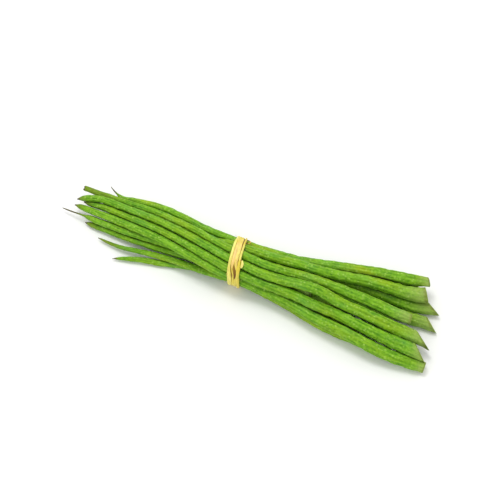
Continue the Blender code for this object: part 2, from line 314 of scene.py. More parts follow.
# Colours are linear; change them here to repaint the pods. Lengths are in millimetres.
# span: where a mark starts and where it is full. amount: how much of a colour it lays on.
# broken: the grain that breaks a colour up, how much it does, and what is left of the colour.
skinLooks = {
    "deep": (0.050, 0.200, 0.003, 1), "light": (0.205, 0.455, 0.014, 1),
    # ridge is a painted highlight on the rib ridges, and groove is painted shade in the rib grooves; the
    # same groove green also colours the random dark streaks.
    "ridge": (0.280, 0.540, 0.045, 1), "groove": (0.026, 0.125, 0.002, 1),
    "warm": (0.330, 0.440, 0.007, 1), "cool": (0.105, 0.350, 0.060, 1),
    "speck": (0.420, 0.640, 0.120, 1), "pit": (0.022, 0.105, 0.003, 1),
    "olive": (0.155, 0.205, 0.012, 1), "dry": (0.100, 0.085, 0.030, 1),
    "pale": (0.330, 0.420, 0.110, 1), "rim": (0.150, 0.160, 0.025, 1),
    # Painted shade: the near-black colour laid in the creases where pods lie close together.
    "paintedCreviceShade": (0.002, 0.012, 0.001, 1),
    "grain": {
        "streaks": dict(Length=17.0, Width=2.2, Low=0.36, High=0.64),
        "fine": dict(Length=4.0, Width=0.9, Low=0.3, High=0.7, Seed=4.0),
        "clouds": dict(Length=46.0, Width=14.0, Low=0.42, High=0.72, Seed=9.0),
        "coolPatches": dict(Length=30.0, Width=9.0, Low=0.5, High=0.75, Seed=15.0),
        "mottle": dict(Length=2.6, Width=1.9, Low=0.38, High=0.62, Seed=21.0),
        "blotches": dict(Length=10.0, Width=4.5, Low=0.38, High=0.64, Seed=33.0),
        "darkLines": dict(Length=13.0, Width=1.3, Low=0.57, High=0.7, Seed=27.0),
    },
    "dots": {
        "specks": dict(Spacing=2.4, Stretch=1.2, Size=0.48, Share=0.6),
        "pits": dict(Spacing=2.6, Stretch=1.5, Size=0.36, Share=0.35),
    },
    "lightness": dict(streaks=0.22, mottle=0.42, blotches=0.38, podTone=0.3), "darker": -0.06,
    "amount": dict(cool=0.45, ridge=0.45, groove=0.3, darkLines=0.35, specks=0.9, pits=0.8, paintedCreviceShade=0.96),
    "span": dict(ridge=(0.55, 1.0), groove=(0.5, 0.0), rim=(0.95, 1.0), dry=(0.5, 1.05)),
    "broken": dict(olive=("mottle", 0.45, 0.5), pale=("fine", 0.5, 0.35), rim=("mottle", 0.5, 0.3)),
    "dryness": dict(tipDry=1.0, fineRaw=0.6),
    "roughness": 0.42, "rougher": dict(mottleRaw=0.22, dryEdge=0.25),
    "relief": dict(mottleRaw=0.9, fineRaw=0.5, specks=0.6, pits=-0.35),
    "bump": dict(Strength=0.7, Distance=0.45 * mm),
    "shader": dict(Sheen_Weight=0.02, Sheen_Roughness=0.45, Sheen_Tint=(0.86, 1.0, 0.72, 1),
                   Specular_IOR_Level=0.15),
}


def makeSkin():
    look, amount, span = skinLooks, skinLooks["amount"], skinLooks["span"]
    material, tree, shader, signals = startMaterial("podSkin", look, "podPlace", (
        "ridge", "podTone", "podWarmth", "tipDry", "tipOlive", "cutPale", "paintedCreviceShade"))

    # How much of a colour the grain leaves
    def broken(name):
        grain, share, rest = look["broken"][name]
        return doMath(tree, "MULTIPLY_ADD", signals[grain], share, rest)

    # Painted highlight on the rib ridges and painted shade in the rib grooves, both from the ridge mark.
    paintedRidgeHighlight = mapRange(tree, signals["ridge"], *span["ridge"])
    paintedGrooveShade = mapRange(tree, signals["ridge"], *span["groove"])
    atRim = mapRange(tree, signals["cutPale"], *span["rim"])
    paintedRidgeHighlightAmount = doMath(tree, "MULTIPLY", signals["fine"], amount["ridge"])
    colour = blendColour(tree, weighedSum(tree, signals, look["lightness"], look["darker"]),
                         look["deep"], look["light"])
    colour = layOver(tree, colour, [
        (look["warm"], signals["clouds"], signals["podWarmth"]),
        (look["cool"], signals["coolPatches"], amount["cool"]),
        (look["ridge"], paintedRidgeHighlight, paintedRidgeHighlightAmount),
        (look["groove"], paintedGrooveShade, amount["groove"]),
        (look["groove"], signals["darkLines"], amount["darkLines"]),
        (look["speck"], signals["specks"], amount["specks"]),
        (look["pit"], signals["pits"], amount["pits"]),
        (look["olive"], signals["tipOlive"], broken("olive")),
        (look["pale"], signals["cutPale"], broken("pale")),
        (look["rim"], atRim, broken("rim")),
        # Painted shade in the creases between close pods.
        (look["paintedCreviceShade"], signals["paintedCreviceShade"], amount["paintedCreviceShade"])])
    signals["dryEdge"] = mapRange(tree, weighedSum(tree, signals, look["dryness"]), *span["dry"])
    colour = blendColour(tree, signals["dryEdge"], colour, look["dry"])
    plug(tree, shader, "Roughness", weighedSum(tree, signals, look["rougher"], look["roughness"]))
    finishMaterial(tree, shader, signals, look, colour)
    return material


cutLooks = {
    "rim": (0.26, 0.40, 0.06, 1), "pith": (0.60, 0.66, 0.30, 1), "core": (0.42, 0.50, 0.17, 1),
    "bruise": (0.30, 0.22, 0.07, 1),
    "grain": {"mottle": dict(Length=1.3, Width=1.3, Low=0.3, High=0.7, Seed=31.0)},
    "dots": {"pores": dict(Spacing=0.6, Stretch=1.0, Size=0.4, Share=0.6)},
    "span": dict(pith=(0.06, 0.24), core=(0.5, 0.8)), "amount": dict(core=0.8, rim=0.3, bruise=0.5),
    "relief": dict(mottleRaw=1.0, pores=-1.0), "bump": dict(Strength=0.6, Distance=0.2 * mm),
    "roughness": 0.6, "shader": dict(Specular_IOR_Level=0.4),
}


def makeCutFace():
    look, amount, span = cutLooks, cutLooks["amount"], cutLooks["span"]
    material, tree, shader, signals = startMaterial("podCutFace", look, "podPlace", ("cutDepth",))
    inPith, inCore = (mapRange(tree, signals["cutDepth"], *span[name]) for name in ("pith", "core"))
    colour = blendColour(tree, inPith, look["rim"], look["pith"])
    colour = layOver(tree, colour, [
        (look["core"], inCore, amount["core"]), (look["rim"], signals["mottle"], amount["rim"]),
        (look["bruise"], signals["pores"], amount["bruise"])])
    finishMaterial(tree, shader, signals, look, colour)
    return material


skin = makeSkin()
cutFace = makeCutFace()
print("stage: skin and cut face made")

# tone: 0 dark to 1 light. warmth: share of yellow-green clouds.
# dry and olive: length in millimetres of the dry nib and of the olive stretch behind the tip.
# pale: length of the paler stretch before the cut. beads: swelling over the seeds.
# jag: depth in millimetres of a broken tip's teeth.
# nudge: places along X where the pod lies a little aside: middle, half length, distance.
podLooks = {
    "pod_01": dict(tone=0.50, warmth=0.95, dry=9.0, olive=14, pale=16, beads=0.022, seed=11),
    "pod_02": dict(tone=0.50, warmth=0.50, dry=1.0, olive=44, pale=24, beads=0.020, seed=12, jag=2.4,
                   nudge=[(-80, 62, 1.1)]),
    "pod_03": dict(tone=0.35, warmth=0.40, dry=4.0, olive=10, pale=26, beads=0.016, seed=13,
                   nudge=[(150, 70, -0.4)]),
    "pod_04": dict(tone=0.40, warmth=0.35, dry=4.0, olive=12, pale=14, beads=0.018, seed=14,
                   nudge=[(-165, 45, 1.1), (160, 70, 0.25)]),
    "pod_05": dict(tone=0.55, warmth=0.35, dry=3.5, olive=14, pale=14, beads=0.020, seed=15,
                   nudge=[(180, 85, 1.4)]),
    "pod_06": dict(tone=0.45, warmth=0.60, dry=3.0, olive=34, pale=10, beads=0.016, seed=16),
    "pod_07": dict(tone=0.65, warmth=0.45, dry=5.0, olive=8, pale=10, beads=0.014, seed=17),
    "pod_08": dict(tone=0.60, warmth=0.50, dry=3.5, olive=20, pale=12, beads=0.020, seed=18),
    "pod_09": dict(tone=0.75, warmth=0.60, dry=3.0, olive=12, pale=34, beads=0.018, seed=19),
    "pod_10": dict(tone=0.25, warmth=0.30, dry=3.0, olive=12, pale=30, beads=0.018, seed=20),
    "pod_11": dict(tone=0.30, warmth=0.40, dry=3.0, olive=10, pale=30, beads=0.018, seed=21),
    "pod_12": dict(tone=0.35, warmth=0.40, dry=3.0, olive=12, pale=14, beads=0.018, seed=22),
    "pod_13": dict(tone=0.40, warmth=0.55, dry=3.0, olive=12, pale=14, beads=0.020, seed=27),
    "pod_14": dict(tone=0.40, warmth=0.50, dry=3.0, olive=14, pale=14, beads=0.018, seed=24),
    "pod_15": dict(tone=0.35, warmth=0.40, dry=3.0, olive=12, pale=14, beads=0.018, seed=25),
    "pod_16": dict(tone=0.55, warmth=0.45, dry=26.0, olive=38, pale=14, beads=0.018, seed=26),
}
# Depths, lumps and swellings are shares of the girth, and lengths are in millimetres.
# nearTip and nearEnd: closer stations at the two ends. ribFade: mean and swing of a rib's depth.
# cutLean and cutRise: upward lean of a slanted cut.
podForm = {
    "ribs": 9, "ribDepth": 0.052, "ribPower": 1.5, "ribDrift": 0.25, "ribFade": (0.85, 0.75),
    "ribFadeRange": (0.12, 1.7), "ridgeFadeRange": (0.12, 1.2), "angleDepth": 0.06,
    "around": 72, "step": 2.0, "wobble": 0.22, "nudgeFlat": 0.3,
    "lumps": 0.014, "lumpWaves": 6, "lumpLength": (5, 16),
    "nearTip": (0.0, 0.12, 0.35, 0.8, 1.5, 2.4, 3.4, 4.5, 5.8, 7.2, 8.8),
    "nearEnd": (7.5, 6.0, 4.6, 3.3, 2.2, 1.3, 0.6, 0.25, 0.0),
    "seedSpacing": 11.5, "seedDrift": 2.5, "uneven": 0.016, "swellFrom": (4, 24),
    "cadMeanReach": 0.92, "cutSpan": 11.0, "cutLean": 0.54, "cutRise": 0.02,
    "point": 0.5, "pointLength": 7.0, "bluntest": 0.02,
    "teeth": 5, "toothDrift": 0.3, "toothBase": 0.4, "toothSpan": 5, "patternStep": 1000,
}
# Painted shade in the creases between pods: full near a neighbour's skin and gone far from it. It reaches
# further where the cut ends fan out, is weaker at the tie, and fades before the pod's own cut.
paintedCreaseShadeForm = {
    "near": 0.2, "far": 2.4, "fan": 1.3, "fanSpan": (50, 90, 140, 175), "fanShare": 0.45,
    "mean": 0.7, "swing": 0.55, "tieShare": 0.3, "tieReach": 55, "least": 0.1, "power": 1.4,
    "cutFade": 0.8, "cutFadeFrom": 18, "cutFadeTo": 4,
}


# Every pod of the frame is one tip point and rings of 18 points.
def readPod(node):
    mesh = bmesh.new()
    mesh.from_mesh(node.data)
    bmesh.ops.remove_doubles(mesh, verts=mesh.verts, dist=1e-6)
    tip = max(mesh.verts, key=lambda v: (len(v.link_edges), -v.co.x))
    rings, seen, front = [], {tip}, [tip]
    while True:
        following = {e.other_vert(v) for v in front for e in v.link_edges} - seen
        if not following:
            break
        front = sorted(following, key=lambda v: v.index)
        seen |= following
        rings.append([tuple(v.co) for v in front])
    rings = np.array(rings) / mm
    tipPoint = np.array(tip.co) / mm
    mesh.free()
    return tipPoint, rings


def crossAxes(along):
    along = along / np.linalg.norm(along, axis=-1, keepdims=True)
    side = np.cross(np.array([0.0, 0.0, 1.0]), along)
    side /= np.linalg.norm(side, axis=-1, keepdims=True)
    return along, side, np.cross(along, side)


# A pod's line, its girths, the twist of its ribs and the slant of its cut.
def measurePod(tipPoint, rings):
    centres = rings.mean(axis=1)
    xs = np.concatenate([[tipPoint[0]], centres[:, 0]])
    line = np.vstack([tipPoint[1:], centres[:, 1:]])
    slopes = (smoothCurve(xs, line, xs + 0.5) - smoothCurve(xs, line, xs - 0.5))[1:]
    along, side, up = crossAxes(np.column_stack([np.ones(len(slopes)), slopes]))
    offset = rings - centres[:, None]
    across, high = (np.einsum("nkc,nc->nk", offset, axis) for axis in (side, up))
    reach = np.hypot(across, high)
    meanReach = reach.mean(axis=1, keepdims=True)
    third = np.sum((reach - meanReach) * np.exp(3j * np.arctan2(high, across)), axis=1)
    turned = np.unwrap(np.angle(third)) / 3
    steady = slice(2, len(turned) - 1)  # the tip's own rings are too small to show the twist
    lean = np.einsum("kc,c->k", offset[-1], along[-1])
    slant = -np.sum(lean * across[-1]) / np.sum(across[-1] ** 2)
    return dict(xs=xs, line=line, girths=meanReach[:, 0] / podForm["cadMeanReach"],
                twist=np.polyfit(centres[steady, 0], turned[steady], 1), slant=slant,
                rise=podForm["cutLean"] * max(slant, 0) + podForm["cutRise"], tip=xs[0], end=xs[-1])


def podStations(length):
    nearTip, nearEnd = np.array(podForm["nearTip"]), length - np.array(podForm["nearEnd"])
    count = int((nearEnd[0] - nearTip[-1]) / podForm["step"])
    return np.concatenate([nearTip, np.linspace(nearTip[-1], nearEnd[0], count + 1)[1:-1], nearEnd])


# The pod's line, which wavers a little and lies aside where its look has a nudge.
def lineAlong(pod, look, s):
    x = pod["tip"] + s
    centres = np.column_stack([x, smoothCurve(pod["xs"], pod["line"], x)])
    calm = smoothStep(3, 30, s) * smoothStep(0, 12, pod["end"] - x)
    for column, offset in ((1, 200), (2, 300)):
        waver = waves(look["seed"] + offset, s, longest=70, shortest=22, count=4)
        centres[:, column] += podForm["wobble"] * waver * calm
    for middle, half, aside in look.get("nudge", ()):
        away = np.abs(x - middle)
        centres[:, 1] += aside * (1 - smoothStep(podForm["nudgeFlat"] * half, half, away))
    return centres


def girthAlong(pod, look, s):
    ringPlaces = pod["xs"][1:] - pod["tip"]
    girth = steadyCurve(ringPlaces, pod["girths"], np.maximum(s, ringPlaces[0]))
    blunt = 1 - (1 - np.clip(s / ringPlaces[0], 0, 1)) ** 2
    girth = girth * np.sqrt(np.clip(blunt, podForm["bluntest"], 1))
    drift = podForm["seedDrift"] * waves(look["seed"], s, longest=90, shortest=40, count=3)
    swelling = look["beads"] * np.sin(fullTurn * s / podForm["seedSpacing"] + drift)
    swelling += podForm["uneven"] * waves(look["seed"] + 100, s, longest=26, shortest=5, count=6)
    pointed = 1 if "jag" in look else podForm["point"] + (1 - podForm["point"]) * smoothStep(
        -1, podForm["pointLength"], s)
    return girth * pointed * (1 + swelling * smoothStep(*podForm["swellFrom"], s))


# The section at each station: its reach as a share of the girth, and 1 on a ridge to 0 in a groove.
def sectionAlong(look, s, around):
    form, seed = podForm, look["seed"]
    ribPlace = form["ribs"] * around + form["ribDrift"] * np.sin(2 * around + seed)
    valley = (0.5 - 0.5 * np.cos(ribPlace)) ** form["ribPower"]
    ribNumber = np.floor(around / fullTurn * form["ribs"])
    mean, swing = form["ribFade"]
    fading, lumps = np.zeros((2, len(s), len(around)))
    for rib in range(form["ribs"]):
        ribWaves = waves(seed * 10 + rib, s, longest=90, shortest=24, count=4)
        fading[:, ribNumber == rib] = (mean + swing * ribWaves)[:, None]
    draw = np.random.default_rng(seed + 400)
    for k in range(1, form["lumpWaves"] + 1):
        phase = k * around + fullTurn * s[:, None] / draw.uniform(*form["lumpLength"])
        lumps += form["lumps"] * np.sin(phase + draw.uniform(0, fullTurn))
    threeSided = form["angleDepth"] * (0.5 - 0.5 * np.cos(3 * around))
    share = 1 - form["ribDepth"] * np.clip(fading, *form["ribFadeRange"]) * valley - threeSided + lumps
    return share, 1 - valley * np.clip(fading, *form["ridgeFadeRange"])


# How closely another pod lies beside each point, from 0 to 1, uneven along the pod; it sets the painted
# shade in the creases between pods.
def paintedCreviceShadeAt(name, seed, points):
    form, x = paintedCreaseShadeForm, points[:, 0, 0]
    nearest = np.full(points.shape[:2], form["far"] + form["fan"])
    for other, pod in measured.items():
        if other == name:
            continue
        line = smoothCurve(pod["xs"], pod["line"], x)
        girth = steadyCurve(pod["xs"][1:], pod["girths"], np.clip(x, pod["xs"][1], pod["end"]))
        away = np.hypot(points[..., 1] - line[:, :1], points[..., 2] - line[:, 1:]) - girth[:, None]
        beside = (x > pod["tip"]) & (x < pod["end"])
        nearest = np.where(beside[:, None], np.minimum(nearest, away), nearest)
    fanned = between(form["fanSpan"], x)
    uneven = form["mean"] + form["swing"] * waves(seed + 600, x, longest=90, shortest=12)
    uneven += form["fanShare"] * fanned - form["tieShare"] * np.exp(-(x / form["tieReach"]) ** 2)
    far = form["far"] + form["fan"] * fanned * np.clip(uneven, 0, 1)
    end = measured[name]["end"]
    uneven *= 1 - form["cutFade"] * smoothStep(end - form["cutFadeFrom"], end - form["cutFadeTo"], x)
    close = 1 - smoothStep(form["near"], far[:, None], nearest)
    return close ** form["power"] * np.clip(uneven, form["least"], 1)[:, None]


def buildPod(name, pod):
    form, look = podForm, podLooks[name]
    length = pod["end"] - pod["tip"]
    s = podStations(length)
    around = anglesRound(form["around"])
    centres = lineAlong(pod, look, s)
    along, side, up = crossAxes(np.gradient(centres, s, axis=0))
    share, ridge = sectionAlong(look, s, around)
    reach = girthAlong(pod, look, s)[:, None] * share
    turned = np.polyval(pod["twist"], centres[:, 0])[:, None] + around
    sideways, high = reach * np.cos(turned), reach * np.sin(turned)
    cut = np.clip((s - (length - form["cutSpan"])) / form["cutSpan"], 0, 1)[:, None]
    shift = -(sideways * pod["slant"] + high * pod["rise"]) * cut
    points = (centres[:, None] + sideways[..., None] * side[:, None]
              + high[..., None] * up[:, None] + shift[..., None] * along[:, None])
    toothPlace = around / fullTurn * form["teeth"] + form["toothDrift"] * np.sin(3 * around)
    teeth = np.abs(toothPlace % 1 - 0.5) * 2 - form["toothBase"]
    points[..., 0] += look.get("jag", 0) * teeth * (1 - smoothStep(0, form["toothSpan"], s))[:, None]

    grids = dict(
        ridge=ridge, cutDepth=0.0, paintedCreviceShade=paintedCreviceShadeAt(name, look["seed"], points),
        tipDry=1 - smoothStep(0.3 * look["dry"], 1.3 * look["dry"], s)[:, None],
        tipOlive=1 - smoothStep(0.2 * look["olive"], 1.3 * look["olive"], s)[:, None],
        cutPale=smoothStep(length - look["pale"], length, s)[:, None])
    marks = {key: spreadOver(reach.shape, values) for key, values in grids.items()}
    marks["podPlace"] = placeMark(reach.shape, s[:, None] + form["patternStep"] * look["seed"],
                                  reach * np.cos(around), reach * np.sin(around))
    cutEnd = cutRings(look, pod, (centres[-1], side[-1], up[-1], along[-1]), reach[-1], turned[-1], around)
    finishPod(name, pod, points, marks, cutEnd)


# A mark's values at every point of a grid of rings.
def spreadOver(shape, values):
    return np.broadcast_to(values, shape).ravel()


def placeMark(shape, along, across, up):
    return np.stack([spreadOver(shape, values) for values in (along, across, up)], axis=-1)


# The knife cut: a rounded rim, pith that stands a little low, and three small seed hollows.
# rings: shares of the section from the rim to the middle. Depths are in millimetres.
cutForm = {
    "rings": (0.985, 0.95, 0.88, 0.78, 0.66, 0.54, 0.42, 0.3, 0.18, 0.08), "rimHeight": 0.22,
    "rimFrom": 0.88, "pithDepth": 0.3, "pithSpan": (0.3, 0.92), "seedDepth": 0.5, "seedPlace": 0.4,
    "seedWidth": 0.16, "seedShade": 0.35, "saw": 0.08, "sawLines": 9, "patternOffset": 700,
}


def cutRings(look, pod, end, reach, turned, around):
    form = cutForm
    centre, side, up, along = end
    tilt = np.random.default_rng(look["seed"] + 500).uniform(0, fullTurn)
    pattern = podForm["patternStep"] * look["seed"] + form["patternOffset"]
    points, place, depth = [], [], []
    for step in form["rings"] + (0.0,):
        count = len(around) if step else 1
        angles, local, r = turned[:count], around[:count], reach[:count] * step
        rim = form["rimHeight"] * (1 - smoothStep(form["rimFrom"], 1.0, step))
        pith = form["pithDepth"] * (1 - smoothStep(*form["pithSpan"], step))
        seeds = form["seedDepth"] * np.exp(-((step - form["seedPlace"]) / form["seedWidth"]) ** 2)
        seeds = seeds * np.clip(np.cos(3 * local), 0, 1) ** 2
        saw = form["saw"] * np.sin(form["sawLines"] * step + 2 * angles + tilt) * (1 - step)
        lift = rim - pith - seeds + saw
        sideways, high = r * np.cos(angles), r * np.sin(angles)
        points.append(centre + sideways[:, None] * side + high[:, None] * up
                      + (lift - sideways * pod["slant"] - high * pod["rise"])[:, None] * along)
        place.append(placeMark(r.shape, pattern + lift, r * np.cos(local), r * np.sin(local)))
        depth.append(1 - step + form["seedShade"] * seeds)
    return np.concatenate(points), np.concatenate(place), np.concatenate(depth)


# Joins the skin and the cut face, closes the tip and hands the pod over.
def finishPod(name, pod, points, marks, cutEnd):
    look = podLooks[name]
    cutPoints, cutPlace, cutDepth = cutEnd
    rows, count = points.shape[:2]
    tipPoint = [pod["tip"] + look.get("jag", 0), *pod["line"][0]]
    allPoints = np.vstack([points.reshape(-1, 3), cutPoints, tipPoint])
    allPoints[:, 2] = np.maximum(allPoints[:, 2], 0)
    onCut = dict(podPlace=cutPlace, cutDepth=cutDepth, ridge=1, tipDry=0, tipOlive=0, cutPale=1, paintedCreviceShade=0)
    for key, value in onCut.items():
        values = np.broadcast_to(value, (len(cutPoints), *marks[key].shape[1:]))
        marks[key] = np.concatenate([marks[key], values, marks[key][:1]])
    marks["podTone"] = np.full(len(allPoints), look["tone"])
    marks["podWarmth"] = np.full(len(allPoints), look["warmth"])
    total = rows + len(cutForm["rings"])
    faces = ringFaces(total, count)
    last, centreIndex, tipIndex = (total - 1) * count, total * count, total * count + 1
    faces += [(last + j, last + (j + 1) % count, centreIndex) for j in range(count)]
    skinFaces = rows * count  # the skin goes one ring over the rim
    faceMaterials = [0] * skinFaces + [1] * (len(faces) - skinFaces) + [0] * count
    faces += [((j + 1) % count, j, tipIndex) for j in range(count)]
    piece = makePiece(name.replace("pod_", "moringaPod"), allPoints, faces, [skin, cutFace],
                      faceMaterials, marks)
    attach(piece, "root")
    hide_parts(name)


measured = {name: measurePod(*readPod(frame["nodes"][name])) for name in podLooks}
for podName, measures in measured.items():
    buildPod(podName, measures)
print("stage: pods made,", len(measured))


# The tie: flat strands of dry fibre side by side round the pods
tieForm = {
    "middle": (-5.75, -0.24, 23.3), "reach": 11.0, "gap": 0.3, "lean": 0.14, "rounds": 400,
    "floorGap": 0.05, "leastFacing": 0.05, "meanRadius": 24.0, "patternStep": 300,
}
# Each strand has a table of angles in degrees round the bunch, from the far side over the top,
# with its place across the band and its half width there. top: points over its upper side.
tieStrands = [
    dict(name="tieStrandLeft", height=1.5, fibres=5, tone=0.02, peach=0.0, edge=0.7, seed=51, top=30,
         table=[(0, -3.4, 1.3), (30, -2.9, 1.3), (60, -3.4, 1.4), (90, -3.75, 1.45), (110, -4.1, 1.4),
                (135, -4.5, 1.45), (150, -3.75, 1.95), (166, -3.0, 2.5), (180, -2.6, 2.3),
                (205, -3.6, 1.8), (250, -4.3, 1.7), (310, -4.1, 1.5)]),
    dict(name="tieStripLeft", height=1.0, fibres=6, tone=0.20, peach=1.0, edge=0.2, seed=52, top=34,
         table=[(0, -1.0, 1.6), (60, -0.4, 1.8), (90, -0.5, 1.9), (110, -1.0, 1.9), (125, -1.4, 1.7),
                (134, -1.5, 1.1), (141, -1.2, 0.85), (147, -0.3, 0.8), (153, 0.6, 0.7), (160, 0.9, 0.8),
                (168, 0.9, 1.15), (182, 0.8, 1.3), (205, -0.9, 1.5), (260, -1.3, 1.6)]),
    dict(name="tieStripRight", height=1.05, fibres=6, tone=0.15, peach=0.65, edge=0.2, seed=53, top=34,
         table=[(0, 1.7, 1.6), (60, 2.2, 1.8), (90, 2.3, 1.8), (110, 2.0, 1.85), (125, 1.9, 1.6),
                (134, 2.7, 1.25), (142, 3.9, 0.9), (150, 4.5, 0.65), (160, 4.2, 0.8), (168, 3.4, 1.3),
                (182, 3.2, 1.3), (205, 1.9, 1.6), (260, 1.5, 1.6)]),
    dict(name="tieStrandRight", height=1.7, fibres=5, tone=0.22, peach=0.0, edge=0.7, seed=54, top=30,
         table=[(0, 4.6, 1.3), (30, 5.4, 1.1), (60, 5.75, 1.1), (90, 5.5, 1.1), (110, 5.2, 1.25),
                (125, 5.3, 1.7), (139, 5.1, 2.0), (155, 5.4, 1.7), (168, 5.7, 2.0), (186, 6.2, 2.0),
                (205, 5.6, 2.0), (250, 4.7, 1.9), (310, 4.5, 1.6)]),
]
# Angles in degrees: a strip is peach in peachFront and peachUnder. A strand is golden up to gilt,
# and again where it is twisted, from twist on to twistFade.
strandForm = {
    "waver": 0.12, "widthWaver": 0.05, "heightWaver": 0.06, "crownPower": 2.6, "crownRound": 0.55,
    "wander": 0.8, "ripple": 0.09, "base": 0.12, "underside": 0.06, "under": 8, "thinHeight": 0.75,
    "peachFront": (48, 72, 130, 146), "peachUnder": (190, 230, 330, 356), "underShare": 0.6,
    "gilt": (58, 74), "twist": (106, 118), "twistEase": (136, 150), "twistFade": (200, 240),
    "easeBy": 0.3, "twistGilt": 0.9, "giltGain": 1.6, "giltTone": 0.2, "edgeFrom": 0.8,
}
fibreLooks = {
    "pale": (0.910, 0.880, 0.250, 1), "golden": (0.720, 0.560, 0.025, 1),
    "peach": (0.860, 0.580, 0.210, 1), "streak": (0.360, 0.200, 0.006, 1),
    # hollowShadeAndBrown: dark brown, laid as painted shade on the strands' undersides, in the gap under
    # the parted strip and at the loops' tucked ends, and as plain brown over the curl.
    "hollowShadeAndBrown": (0.150, 0.048, 0.001, 1),
    "grain": {
        "broad": dict(Length=12.0, Width=1.1, Low=0.35, High=0.65, Seed=3.0),
        "thin": dict(Length=9.0, Width=0.3, Low=0.3, High=0.7, Seed=5.0),
        "flecks": dict(Length=4.5, Width=0.5, Low=0.58, High=0.7, Seed=8.0),
        "dull": dict(Length=9.0, Width=2.2, Low=0.5, High=0.72, Seed=12.0),
    },
    "gold": dict(fibreTone=1.0, broadRaw=0.3), "peachSpan": (0.3, 0.6), "dullAmount": 0.45,
    "fleckAmount": 0.7, "shade": dict(thin=0.36), "darkestShade": 0.8,
    "roughness": 0.62, "smoothness": 0.42, "smoothSpan": (0.2, 0.8),
    "relief": dict(thinRaw=1.0, flecks=-0.6), "bump": dict(Strength=0.6, Distance=0.15 * mm),
    "shader": dict(Specular_IOR_Level=0.4, Sheen_Weight=0.05, Sheen_Roughness=0.4),
}


def makeFibre():
    look = fibreLooks
    material, tree, shader, signals = startMaterial(
        "tieFibre", look, "fibrePlace", ("fibreTone", "fibrePeach", "fibreEdge", "fibreHollowShadeAndBrown"))
    colour = blendColour(tree, weighedSum(tree, signals, look["gold"]), look["pale"], look["golden"])
    inBroad = mapRange(tree, signals["broadRaw"], *look["peachSpan"])
    colour = layOver(tree, colour, [(look["peach"], signals["fibrePeach"], inBroad),
                                    (look["golden"], signals["dull"], look["dullAmount"])])
    shade = weighedSum(tree, signals, look["shade"], look["darkestShade"])
    grey = addNode(tree, "ShaderNodeCombineColor", Red=shade, Green=shade, Blue=shade).outputs[0]
    colour = blendColour(tree, 1.0, colour, grey, "MULTIPLY")
    colour = layOver(tree, colour, [(look["streak"], signals["flecks"], look["fleckAmount"]),
                                    (look["streak"], signals["fibreEdge"], 1.0),
                                    (look["hollowShadeAndBrown"], signals["fibreHollowShadeAndBrown"], 1.0)])
    plug(tree, shader, "Roughness", mapRange(
        tree, signals["thinRaw"], *look["smoothSpan"], look["roughness"], look["smoothness"]))
    finishMaterial(tree, shader, signals, look, colour)
    return material


# How far the taut band lies from the middle of the tie, at each angle round the pods.
def tautOutline(steps=720):
    xMiddle, yMiddle, zMiddle = tieForm["middle"]
    least = tieForm["leastFacing"]
    y, z, reach = [], [], []
    for pod in measured.values():
        at = np.linspace(xMiddle - tieForm["reach"], xMiddle + tieForm["reach"], 5)
        line = smoothCurve(pod["xs"], pod["line"], at)
        y.append(line[:, 0] - yMiddle)
        z.append(line[:, 1] - zMiddle)
        reach.append(steadyCurve(pod["xs"][1:], pod["girths"], at) + tieForm["gap"])
    y, z, reach = (np.concatenate(v) for v in (y, z, reach))
    angles = anglesRound(steps)
    support = np.max(np.outer(np.cos(angles), y) + np.outer(np.sin(angles), z) + reach, axis=1)

    def outline(angle):
        lean = np.cos(angles[None, :] - angle[:, None])
        return np.where(lean > least, support / np.maximum(lean, least), np.inf).min(axis=1)

    return outline


def tableAt(table, column, degrees):
    table = np.array(table, float)
    wrapped = np.vstack([table[-2:] - [360, 0, 0], table, table[:3] + [360, 0, 0]])
    return steadyCurve(wrapped[:, 0], wrapped[:, column], degrees)


# Points at an angle round, a place across and a height over the pods. Each angle has one place
# and height, or a row of them.
def onTie(angle, place, height, outline):
    reach = outline(angle)
    if np.ndim(place) == 2:
        angle, reach = angle[:, None], reach[:, None]
    reach = reach + height
    y, z = reach * np.cos(angle), reach * np.sin(angle)
    xMiddle, yMiddle, zMiddle = tieForm["middle"]
    return np.stack([xMiddle + place - tieForm["lean"] * y, yMiddle + y,
                     np.maximum(zMiddle + z, tieForm["floorGap"])], axis=-1)


# Marks of a piece of fibre: one value for all of it, or one for each point.
def fibreMarks(place, tone, peach, edge, hollowShadeAndBrown):
    marks = {"fibreTone": tone, "fibrePeach": peach, "fibreEdge": edge, "fibreHollowShadeAndBrown": hollowShadeAndBrown}
    marks = {name: np.broadcast_to(value, len(place)) for name, value in marks.items()}
    return {"fibrePlace": place, **marks}


# A band round the bunch, from one closed ring of points at each angle.
def makeBand(name, points, material, marks):
    rounds, around = points.shape[:2]
    faces = [face[::-1] for face in ringFaces(rounds, around, backToStart=True)]
    return makePiece(name, points.reshape(-1, 3), faces, [material], marks=marks)


